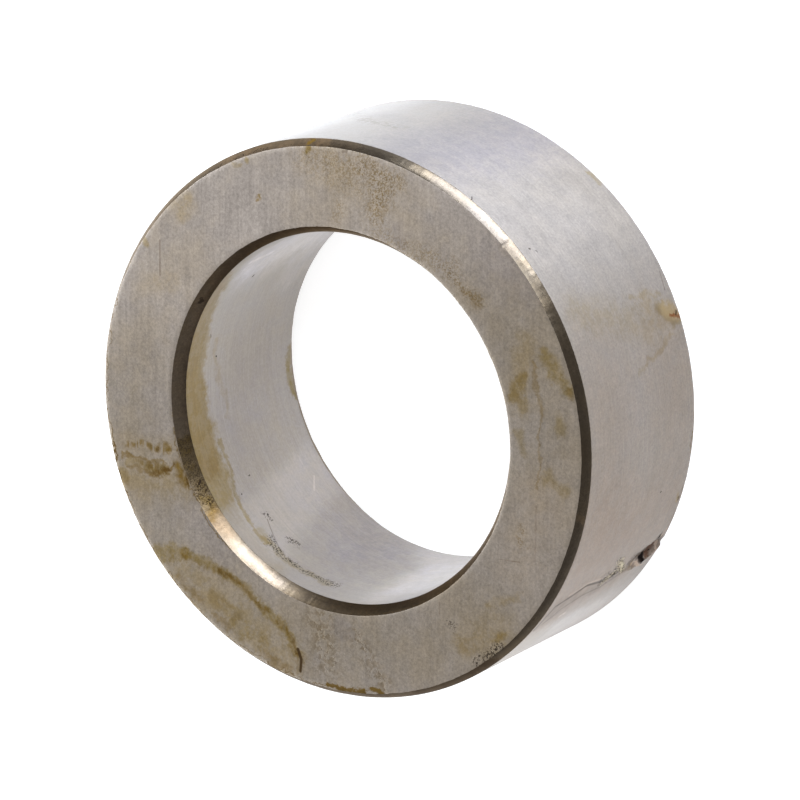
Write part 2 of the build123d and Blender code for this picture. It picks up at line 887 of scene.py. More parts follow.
class MarkCoat(Group):
    """Lays one mark over the steel: it tints it, covers it, roughens it and pits it."""

    name = "mark_coat"
    takes = {
        "Colour": "",
        "Roughness": 0.3,
        "Metallic": 1.0,
        "Height": 0.0,
        "Distance": 0.0,
        "Ragged": 0.5,
        "Patch": 0.5,
        "Speckle": 0.5,
        "Raggedness": 0.3,
        "Softness": 0.3,
        "Patchiness": 0.3,
        "Speckle Cut": -1.0,
        "Rim": 0.0,
        "Strength": 1.0,
        "Tint": "",
        "Deposit": "",
        "Cover": 0.0,
        "Mark Roughness": 0.5,
        "Mark Metallic": 1.0,
        "Depth": 0.0,
    }
    gives = {"Colour": "Color", "Roughness": "Float", "Metallic": "Float", "Height": "Float"}

    def wire(self, wiring: Wiring, taken: dict[str, Socket]) -> dict[str, Socket]:
        """Wires the mark's ragged mask and what it does to the steel.

        Args:
            wiring: the tree of the group.
            taken: the group's inputs, by name.

        Returns:
            The group's outputs, by name.
        """
        ragged = wiring.swing(taken["Ragged"])
        far = wiring.maths("MULTIPLY_ADD", ragged, taken["Raggedness"], taken["Distance"])
        outer = wiring.maths("ADD", 1.0, taken["Softness"])
        inner = wiring.maths("SUBTRACT", 1.0, taken["Softness"])
        mask = wiring.maths("SUBTRACT", 1.0, wiring.ease(far, inner, outer))
        cut = taken["Speckle Cut"]
        cut_low = wiring.maths("SUBTRACT", cut, CUT_SOFTNESS)
        cut_high = wiring.maths("ADD", cut, CUT_SOFTNESS)
        mask = wiring.maths("MULTIPLY", mask, wiring.ease(taken["Speckle"], cut_low, cut_high))
        whole = wiring.slide(taken["Patchiness"], 1.0, wiring.ease(taken["Patch"], *PATCH_BAND))
        mask = wiring.maths("MULTIPLY", mask, whole)
        off_rim = wiring.maths("ABSOLUTE", wiring.maths("SUBTRACT", far, RIM_PLACE))
        rim = wiring.maths("SUBTRACT", 1.0, wiring.ease(off_rim, 0.0, RIM_WIDTH))
        rim = wiring.maths("MULTIPLY", rim, taken["Rim"])
        mask = wiring.maths("MULTIPLY", mask, taken["Strength"])
        stain = wiring.maths("ADD", wiring.maths("MULTIPLY", rim, taken["Strength"]), mask)
        stain = wiring.maths("MINIMUM", stain, 1.0)
        colour = wiring.blend(stain, taken["Colour"], taken["Tint"], "MULTIPLY")
        solid = wiring.maths("MULTIPLY", stain, taken["Cover"])
        colour = wiring.blend(solid, colour, taken["Deposit"])
        dip = wiring.maths("MULTIPLY", mask, taken["Depth"])
        return {
            "Colour": colour,
            "Roughness": wiring.slide(stain, taken["Roughness"], taken["Mark Roughness"]),
            "Metallic": wiring.slide(solid, taken["Metallic"], taken["Mark Metallic"]),
            "Height": wiring.maths("ADD", dip, taken["Height"]),
        }


@dataclass(frozen=True)
class Look:
    """What one kind of mark does to the steel under it; depth is in millimetres."""

    tint: Colour
    rough: float
    softness: float = 0.5
    raggedness: float = 0.3
    patchiness: float = 0.4
    speckle_cut: float = -1.0
    rim: float = 0.0
    deposit: Colour = (0.0, 0.0, 0.0)
    cover: float = 0.0
    metal: float = 1.0
    depth: float = 0.0
    wanders: bool = True
    broken_by: str = "Speckle"


class MarkKind(Enum):
    """The kinds of mark on the steel: those that age and handling left, and painted light and shade."""

    # Painted shade, partly a browner film: darkens the steel and turns it a little browner.
    SHADE = Look((0.695, 0.678, 0.625), 0.36, 0.95, 0.10, 0.25)
    # Painted shade and a browner film: darkens the steel and turns it browner.
    HAZE_AND_SHADE = Look((0.90, 0.80, 0.69), 0.38, 0.95, 0.15, 0.20)
    FILM = Look((0.88, 0.80, 0.60), 0.40, 0.85, 0.35, 0.5)
    VARNISH = Look((0.79, 0.68, 0.39), 0.36, 0.30, 0.14, 0.20, rim=0.15)
    OIL = Look((0.68, 0.57, 0.25), 0.40, 0.7, 0.3, 0.35, rim=0.1)
    BROWN = Look((0.50, 0.37, 0.11), 0.44, 0.8, 0.35, 0.25)
    COMB = Look((0.50, 0.38, 0.13), 0.44, 0.7, 0.35, 0.10, 0.49, broken_by="Streaks")
    CRUST = Look(
        (0.20, 0.13, 0.03), 0.6, 0.6, 0.1, 0.0,
        deposit=(0.026, 0.013, 0.003), cover=0.9, metal=0.0, wanders=False,
    )
    RUST = Look(
        (0.32, 0.21, 0.06), 0.6, 0.45, 0.40, 0.10,
        deposit=(0.074, 0.043, 0.007), cover=0.85, metal=0.0,
    )
    AMBER = Look((0.93, 0.76, 0.50), 0.5, 0.9, 0.40, 0.2, deposit=(0.37, 0.29, 0.15), cover=0.35, metal=0.3)
    BLOOM = Look((0.5, 0.3, 0.2), 0.7, 0.7, 0.45, 0.2, deposit=(0.090, 0.025, 0.006), cover=0.85, metal=0.0)
    OXIDE = Look((0.6, 0.5, 0.4), 0.45, 0.6, 0.3, 0.3, deposit=(0.040, 0.026, 0.016), cover=0.8, metal=0.5)
    PITS = Look((0.68, 0.61, 0.47), 0.42, 0.95, 0.4, 0.50, 0.50, depth=-0.0015)
    GREY_PITS = Look((0.60, 0.55, 0.47), 0.42, 0.9, 0.4, 0.20, 0.50, depth=-0.009, broken_by="Ragged")
    BLACK_PITS = Look(
        (0.20, 0.15, 0.10), 0.7, 0.7, 0.4, 0.15, 0.53,
        deposit=(0.016, 0.011, 0.007), cover=0.9, metal=0.0, depth=-0.008,
    )
    SPOT = Look(
        (0.16, 0.12, 0.09), 0.7, 0.6, 0.3, 0.0,
        deposit=(0.014, 0.009, 0.006), cover=0.9, metal=0.0, depth=-0.01,
    )
    TORN = Look((0.62, 0.52, 0.45), 0.6, 0.6, 0.4, 0.3, deposit=(0.11, 0.080, 0.062), cover=0.7, metal=0.1)
    HOLE = Look(
        (0.12, 0.07, 0.05), 0.9, 0.6, 0.35, 0.0,
        deposit=(0.006, 0.003, 0.002), cover=1.0, metal=0.0,
    )
    CHALK = Look((1.05, 1.0, 0.88), 0.5, 0.7, 0.45, 0.6, deposit=(0.66, 0.57, 0.41), cover=0.85, metal=0.0)
    # Painted light: lightens the steel and warms it.
    PAINTED_LIGHT = Look((2.35, 2.05, 1.7), 0.40, 0.8, 0.4, 0.4)
    # Painted shade: darkens the steel and cools it a little.
    PAINTED_SHADE = Look((0.84, 0.84, 0.90), 0.42, 0.9, 0.35, 0.4)
    # Real rubbed spots on the end face, and painted highlight on the chamfers: lightens the steel and cools
    # it.
    RUBBED_AND_HIGHLIGHT = Look((1.06, 1.08, 1.15), 0.30, 0.6, 0.3, 0.2)
    # Painted highlight and painted reflection: lightens the steel and turns it bluer.
    PAINTED_HIGHLIGHT = Look((1.30, 1.33, 1.42), 0.30, 0.45, 0.12, 0.2)
    SCRATCH = Look(
        (0.44, 0.38, 0.31), 0.5, 0.6, 0.2, 0.3,
        deposit=(0.085, 0.062, 0.045), cover=0.6, metal=0.1, depth=-0.006, wanders=False,
    )
    BRIGHT_SCRATCH = Look((1.5, 1.5, 1.5), 0.25, 0.6, 0.3, 0.2, wanders=False)
    PALE = Look((1.1, 1.0, 0.9), 0.5, 0.6, 0.4, 0.3, deposit=(0.48, 0.37, 0.29), cover=0.7, metal=0.2)


@dataclass(frozen=True)
class Mark:
    """One mark: its kind, the points that it runs through, and its half width in millimetres.

    On an end face a point is x and y in millimetres. On a wall or a chamfer it is a
    bearing in degrees and a height in millimetres.
    """

    kind: MarkKind
    path: tuple[Place, ...]
    width: float
    strength: float = 1.0

    def coat(
        self,
        wiring: Wiring,
        places: tuple[Socket, Socket],
        skin: dict[str, Socket],
        fields: dict[str, Socket],
    ) -> dict[str, Socket]:
        """Lays the mark over the steel.

        Args:
            wiring: the material's tree.
            places: the place on the surface in millimetres, as it is and shifted by noise.
            skin: the steel's colour, roughness, metallic and height so far.
            fields: the noise that all marks share.

        Returns:
            The steel's colour, roughness, metallic and height with the mark on it.
        """
        look = self.kind.value
        ends = self.path[1:] or self.path
        distance: object = None
        for start, end in zip(self.path, ends):
            gap = Stroke().place(
                wiring,
                Place=places[look.wanders],
                From=(*start, 0.0),
                Span=(end[0] - start[0], end[1] - start[1], 0.0),
                Half_Width=self.width,
            )["Distance"]
            distance = gap if distance is None else wiring.maths("MINIMUM", distance, gap)
        return MarkCoat().place(
            wiring,
            **skin,
            Ragged=fields["Ragged"],
            Patch=fields["Patch"],
            Speckle=fields[look.broken_by],
            Distance=distance,
            Raggedness=look.raggedness,
            Softness=look.softness,
            Patchiness=look.patchiness,
            Speckle_Cut=look.speckle_cut,
            Rim=look.rim,
            Strength=self.strength,
            Tint=look.tint,
            Deposit=look.deposit,
            Cover=look.cover,
            Mark_Roughness=look.rough,
            Mark_Metallic=look.metal,
            Depth=look.depth,
        )


class Lay(Enum):
    """How the tool's lines run over a surface: straight across it or round the axis."""

    STRAIGHT = 0
    ROUND = 1


@dataclass(frozen=True)
class SteelFinish:
    """One zone's cut steel, with the marks on it.

    A wall has a radius in millimetres and the bearing that it is unrolled from; an end
    face has neither. The contrasts of cloud, grain and lines are shares of the tone.
    """

    name: str
    cool: Colour
    warm: Colour
    rough: float
    lay: Lay
    cloud: float = 0.05
    grain: float = 0.09
    lines: float = 0.06
    relief: float = 1.0
    radius: float = 0.0
    facing_deg: float = 0.0
    anisotropy: float = 0.0
    edge_tint: Colour = (1.0, 1.0, 1.0)
    oiled: float = 0.0
    marks: tuple[Mark, ...] = ()

    def unrolled(self, wiring: Wiring, position: Socket) -> Socket:
        """The place along the wall and up it; its seam is opposite the facing bearing.

        Args:
            wiring: the material's tree.
            position: the place in space, in millimetres.

        Returns:
            The place on the unrolled wall, in millimetres.
        """
        turned = wiring.add("ShaderNodeVectorRotate", rotation_type="Z_AXIS")
        wiring.put(turned.inputs["Vector"], position)
        wiring.put(turned.inputs["Angle"], -math.radians(self.facing_deg))
        apart = wiring.add("ShaderNodeSeparateXYZ")
        wiring.put(apart.inputs[0], turned.outputs[0])
        bearing = wiring.maths("ARCTAN2", apart.outputs["Y"], apart.outputs["X"])
        together = wiring.add("ShaderNodeCombineXYZ")
        wiring.put(together.inputs["X"], wiring.maths("MULTIPLY", bearing, self.radius))
        wiring.put(together.inputs["Y"], apart.outputs["Z"])
        return together.outputs[0]

    def flat(self, wiring: Wiring, position: Socket) -> Socket:
        """The place on an end face."""
        return wiring.vectors("MULTIPLY", position, (1.0, 1.0, 0.0)).outputs[0]

    def lay_place(self, wiring: Wiring, position: Socket) -> Socket:
        """The position, drawn out along the tool's lines.

        Args:
            wiring: the material's tree.
            position: the place in space, in millimetres.

        Returns:
            The place at which the lines are read.
        """
        if self.lay is Lay.ROUND:
            return wiring.vectors("MULTIPLY", position, TURNED_STRETCH).outputs[0]
        turned = wiring.add("ShaderNodeVectorRotate", rotation_type="Z_AXIS")
        wiring.put(turned.inputs["Vector"], position)
        wiring.put(turned.inputs["Angle"], math.radians(GROUND_LAY_DEG))
        return wiring.vectors("MULTIPLY", turned.outputs[0], GROUND_STRETCH).outputs[0]

    def on_surface(self, mark: Mark) -> Mark:
        """The mark with a wall's bearings and heights turned into lengths along it.

        Args:
            mark: a mark as it is listed.

        Returns:
            The mark as its strokes are placed.
        """
        if not self.radius:
            return mark

        def along(bearing: float) -> float:
            """The arc from the facing bearing, the shorter way round."""
            turn = (bearing - self.facing_deg + 180.0) % 360.0 - 180.0
            return math.radians(turn) * self.radius

        path = tuple((along(bearing), height) for bearing, height in mark.path)
        return Mark(mark.kind, path, mark.width, mark.strength)

    def material(self) -> bpy.types.Material:
        """Makes the material.

        Returns:
            A metal whose colour, roughness and relief come from its skin and marks.
        """
        material = bpy.data.materials.new(self.name)
        material.use_nodes = True
        wiring = Wiring(material.node_tree)
        shader = wiring.tree.nodes["Principled BSDF"]
        spot = wiring.add("ShaderNodeTexCoord")
        position = wiring.vectors("SCALE", spot.outputs["Object"], MM_PER_METRE).outputs[0]
        place = self.unrolled(wiring, position) if self.radius else self.flat(wiring, position)
        skin = GroundSkin().place(
            wiring,
            Place=position,
            Lay=self.lay_place(wiring, position),
            Cool=self.cool,
            Warm=self.warm,
            Cloud=self.cloud,
            Grain=self.grain,
            Lines=self.lines,
            Roughness=self.rough,
            Relief=self.relief,
        )
        fields = {name: skin.pop(name) for name in ("Ragged", "Patch", "Speckle", "Streaks")}
        places = (place, Wander().place(wiring, Place=place, Position=position)["Place"])
        steel: dict[str, object] = {**skin, "Metallic": 1.0}
        for mark in self.marks:
            steel = self.on_surface(mark).coat(wiring, places, steel, fields)
        wiring.put(shader.inputs["Base Color"], steel["Colour"])
        wiring.put(shader.inputs["Roughness"], steel["Roughness"])
        wiring.put(shader.inputs["Metallic"], steel["Metallic"])
        if self.oiled:
            coat = wiring.maths("MULTIPLY", steel["Metallic"], self.oiled)
            wiring.put(shader.inputs["Coat Weight"], coat)
        shader.inputs["Coat Roughness"].default_value = COAT_ROUGHNESS
        shader.inputs["Specular Tint"].default_value = (*self.edge_tint, 1.0)
        shader.inputs["Specular IOR Level"].default_value = SPECULAR_LEVEL
        if self.anisotropy:
            shader.inputs["Anisotropic"].default_value = self.anisotropy
            tangent = wiring.add("ShaderNodeTangent", direction_type="UV_MAP", uv_map="lay")
            wiring.put(shader.inputs["Tangent"], tangent.outputs[0])
            shader.inputs["Anisotropic Rotation"].default_value = LAY_TURN
        bump = wiring.add("ShaderNodeBump")
        bump.inputs["Distance"].default_value = MM
        wiring.put(bump.inputs["Height"], steel["Height"])
        wiring.put(shader.inputs["Normal"], bump.outputs[0])
        return material


def arc(radius: float, start_deg: float, end_deg: float, steps: int) -> tuple[Place, ...]:
    """Places on an end face along an arc about the ring's axis.

    Args:
        radius: the arc's radius, in millimetres.
        start_deg: the bearing that it starts at.
        end_deg: the bearing that it ends at.
        steps: how many strokes make it up.

    Returns:
        The places, one more than the steps.
    """
    turns = (math.radians(start_deg + (end_deg - start_deg) * step / steps) for step in range(steps + 1))
    return tuple((radius * math.cos(turn), radius * math.sin(turn)) for turn in turns)


SHADE, HAZE_AND_SHADE, FILM, VARNISH = MarkKind.SHADE, MarkKind.HAZE_AND_SHADE, MarkKind.FILM, MarkKind.VARNISH
OIL, BROWN, COMB = MarkKind.OIL, MarkKind.BROWN, MarkKind.COMB
CRUST, RUST, AMBER, BLOOM = MarkKind.CRUST, MarkKind.RUST, MarkKind.AMBER, MarkKind.BLOOM
PITS, GREY_PITS, BLACK_PITS = MarkKind.PITS, MarkKind.GREY_PITS, MarkKind.BLACK_PITS
SPOT, HOLE, TORN, OXIDE = MarkKind.SPOT, MarkKind.HOLE, MarkKind.TORN, MarkKind.OXIDE
CHALK, PALE, PAINTED_LIGHT = MarkKind.CHALK, MarkKind.PALE, MarkKind.PAINTED_LIGHT
PAINTED_SHADE, RUBBED_AND_HIGHLIGHT, PAINTED_HIGHLIGHT = MarkKind.PAINTED_SHADE, MarkKind.RUBBED_AND_HIGHLIGHT, MarkKind.PAINTED_HIGHLIGHT
SCRATCH, BRIGHT_SCRATCH = MarkKind.SCRATCH, MarkKind.BRIGHT_SCRATCH

SMEAR_MARKS = (
    # Two smears that cross the face to the bore, and the stain at the bore's edge.
    Mark(FILM, ((-13.8, 23.6), (-12.0, 18.0)), 1.0, 0.5),
    Mark(FILM, ((-17.6, 21.8), (-16.2, 18.5), (-15.6, 15.4)), 1.5, 0.8),
    Mark(COMB, ((-13.8, 23.4), (-13.2, 21.6), (-12.6, 19.9)), 0.38, 0.9),
    Mark(COMB, ((-12.7, 19.5), (-12.2, 18.4)), 0.55, 1.0),
    Mark(OIL, ((-15.4, 22.9), (-15.1, 20.4), (-14.8, 18.6)), 0.50, 0.8),
    Mark(BROWN, ((-15.2, 24.0), (-14.7, 22.0), (-14.3, 20.0), (-13.9, 18.6)), 0.18, 0.85),
    Mark(COMB, ((-15.1, 21.8), (-14.8, 20.0), (-14.5, 18.4)), 0.42, 0.7),
    Mark(BROWN, ((-16.1, 22.8), (-15.8, 20.6), (-15.5, 19.0)), 0.22, 0.75),
    Mark(BROWN, ((-15.4, 19.6), (-14.7, 18.1)), 0.30, 0.9),
    Mark(BROWN, ((-14.6, 17.9), (-13.4, 17.6)), 0.16, 0.9),
    Mark(BROWN, ((-13.6, 17.1), (-14.2, 16.4), (-14.6, 15.6)), 0.70, 1.0),
    Mark(OIL, ((-17.9, 22.4), (-17.0, 23.2)), 0.5, 0.6),
)

DRIP_MARKS = (
    # The curved drip line, and the mottled oil between it and the rim.
    Mark(FILM, ((-24.8, 12.6), (-25.4, 8.0), (-26.4, 3.6), (-27.2, -0.6)), 2.5, 0.9),
    Mark(OIL, ((-25.6, 8.6), (-25.8, 5.4)), 0.8, 0.45),
    Mark(OIL, ((-27.0, 5.0), (-27.6, 1.8)), 1.1, 0.6),
    Mark(BROWN, ((-25.0, 13.2), (-25.8, 11.4), (-26.3, 10.2)), 0.5, 0.5),
    Mark(BROWN, ((-27.2, 7.7), (-27.8, 5.8)), 0.35, 0.6),
    Mark(BROWN, ((-28.6, 0.8), (-29.0, -1.0), (-28.8, -2.6)), 0.5, 0.6),
    Mark(OIL, ((-23.9, 16.4), (-23.0, 15.0), (-22.4, 13.6)), 0.75, 0.85),
    Mark(
        OIL,
        ((-22.4, 13.6), (-22.1, 11.2), (-22.1, 8.4), (-22.6, 4.8), (-24.0, 1.0), (-26.2, -2.9)),
        0.62, 0.95,
    ),
    Mark(BROWN, ((-22.1, 8.8), (-22.3, 6.2), (-22.9, 3.7), (-23.6, 2.0)), 0.36, 0.75),
    Mark(BROWN, ((-24.3, 0.4), (-25.4, -1.8), (-26.2, -3.0)), 0.30, 0.5),
    Mark(BROWN, ((-25.6, -2.4), (-26.9, -3.4), (-28.4, -3.8)), 0.34, 0.6),
    Mark(CRUST, ((-26.0, -2.8), (-26.9, -3.5), (-28.2, -3.8)), 0.16, 1.0),
)

UPPER_MARKS = (
    # Speckled pitting on the upper side.
    Mark(FILM, ((26.2, 10.5), (26.0, 1.5)), 2.6, 0.45),
    Mark(PITS, ((26.2, 11.0), (26.2, 3.4)), 2.3, 0.8),
    Mark(PITS, ((27.6, 5.4), (27.7, 1.2)), 1.0, 1.0),
    Mark(PITS, ((25.2, 2.2), (22.6, 2.2), (21.2, 0.8)), 1.2, 1.0),
    Mark(BROWN, ((24.0, 1.4), (23.4, 1.6)), 0.5, 0.3),
    Mark(PITS, ((22.2, 6.6), (20.8, 6.8)), 0.8, 0.9),
    Mark(PITS, ((21.5, -2.0), (21.6, -5.2), (21.5, -7.8)), 1.2, 0.9),
    Mark(PITS, ((20.9, -7.8), (19.6, -11.6)), 0.8, 1.0),
    Mark(BROWN, ((20.1, -9.8), (19.4, -12.0)), 0.35, 0.45),
    Mark(RUBBED_AND_HIGHLIGHT, ((23.0, -0.8), (21.4, -1.4)), 0.8, 0.8),
    # Small spots and lines.
    Mark(BROWN, ((18.9, 16.0),), 0.18, 0.9),
    Mark(OIL, ((22.2, 18.6),), 0.34, 0.7),
    Mark(OIL, ((21.4, 19.6),), 0.35, 0.6),
    Mark(OIL, ((8.2, 27.7),), 0.40, 0.9),
    Mark(FILM, ((13.8, 24.7), (14.4, 24.2)), 1.1, 0.9),
    Mark(FILM, ((5.6, 23.4), (3.8, 26.2)), 0.9, 0.6),
    Mark(SCRATCH, ((9.3, 26.1), (5.7, 25.0)), 0.10, 0.6),
    Mark(SCRATCH, ((27.9, 8.0), (28.2, 7.6)), 0.15, 0.7),
    Mark(OIL, ((26.6, 12.1), (26.0, 11.9)), 0.30, 0.9),
)

RIGHT_MARKS = (
    # Streaks on the far side of the bore.
    Mark(BROWN, ((16.2, -19.9), (13.4, -21.1), (11.0, -22.2)), 0.26, 0.55),
    Mark(BROWN, ((10.6, -22.3), (8.8, -22.7), (6.9, -23.5), (4.0, -24.2)), 0.16, 0.5),
    Mark(OIL, ((14.4, -19.0), (12.2, -18.7)), 0.55, 0.75),
    Mark(OIL, ((12.1, -19.8), (10.9, -20.1)), 0.6, 0.45),
    Mark(OIL, ((17.8, -20.8), (16.2, -22.5), (15.3, -24.2)), 0.75, 0.8),
    Mark(BROWN, ((15.3, -24.3), (14.9, -24.8)), 0.4, 0.5),
    Mark(OIL, ((11.9, -24.4), (11.0, -24.8)), 0.6, 0.55),
    Mark(FILM, ((17.8, -18.0), (11.0, -19.6)), 1.2, 0.7),
    Mark(OIL, ((8.4, -20.3), (6.7, -21.2)), 0.5, 0.5),
    Mark(OIL, ((5.4, -24.9), (5.0, -27.2)), 0.7, 0.5),
    Mark(PITS, ((-1.0, -23.8), (-2.6, -24.5)), 0.6, 1.0),
    Mark(SCRATCH, ((2.0, -24.6), (-3.7, -26.2)), 0.12, 0.35),
    Mark(SCRATCH, ((-5.4, -22.2), (-4.6, -24.6)), 0.07, 0.6),
    # Painted shade darkens a stretch near the rim, and painted light lightens a stretch further round.
    Mark(PAINTED_SHADE, ((23.4, -15.7), (25.0, -12.2)), 2.6, 0.7),
    Mark(PAINTED_LIGHT, ((3.0, -25.2), (-5.0, -24.8)), 2.8, 0.10),
)

LOWER_MARKS = (
    # Pitted patches, a rubbed spot and the rust on the rim, on the lower side.
    Mark(GREY_PITS, ((-21.6, -4.4), (-25.8, -6.4)), 1.9, 1.0),
    Mark(GREY_PITS, ((-21.0, -8.8), (-22.8, -10.6), (-24.8, -13.6)), 1.0, 1.0),
    Mark(RUBBED_AND_HIGHLIGHT, ((-21.0, -6.8), (-21.7, -7.6)), 0.9, 1.0),
    Mark(RUST, ((-28.1, -7.4), (-27.8, -9.0), (-27.3, -10.4), (-26.8, -11.5)), 0.32, 1.0),
    Mark(RUST, ((-26.2, -12.5), (-25.6, -13.6)), 0.34, 1.0),
    Mark(RUST, arc(29.25, 88.0, 205.0, 16), 0.06, 0.5),
    Mark(RUST, arc(29.2, 117.0, 131.0, 4), 0.11, 0.7),
    Mark(BROWN, arc(20.95, 112.0, 158.0, 6), 0.10, 0.8),
    Mark(FILM, ((-14.8, -22.6), (-13.2, -24.8)), 2.0, 0.8),
    Mark(OIL, ((-13.9, -24.6), (-12.8, -25.2)), 0.5, 0.7),
    Mark(BLACK_PITS, ((-17.2, -23.5), (-14.6, -25.1)), 0.55, 1.0),
    Mark(BLACK_PITS, ((-14.5, -19.0), (-14.9, -19.6)), 0.4, 0.8),
    Mark(SCRATCH, ((-13.1, -17.1), (-14.3, -17.5)), 0.08, 0.6),
    Mark(FILM, ((-10.7, -22.7), (-9.4, -23.9), (-8.3, -25.6)), 0.45, 0.8),
    Mark(FILM, ((-15.9, -20.6), (-16.4, -21.6)), 0.9, 0.8),
    # Painted shade darkens two stretches.
    Mark(PAINTED_SHADE, ((-17.6, 12.6), (-20.4, 9.4)), 2.4, 0.7),
    Mark(PAINTED_SHADE, ((-7.0, 21.6), (-10.6, 20.4)), 1.6, 0.4),
)

FACE_MARKS = (
    # Partly painted shade and partly a browner film: the face is lighter over one quarter and darker and
    # browner over the rest.
    Mark(SHADE, arc(25.0, 112.0, 322.0, 7), 7.8, 0.90),
    *LOWER_MARKS,
    *RIGHT_MARKS,
    *UPPER_MARKS,
    *DRIP_MARKS,
    *SMEAR_MARKS,
)

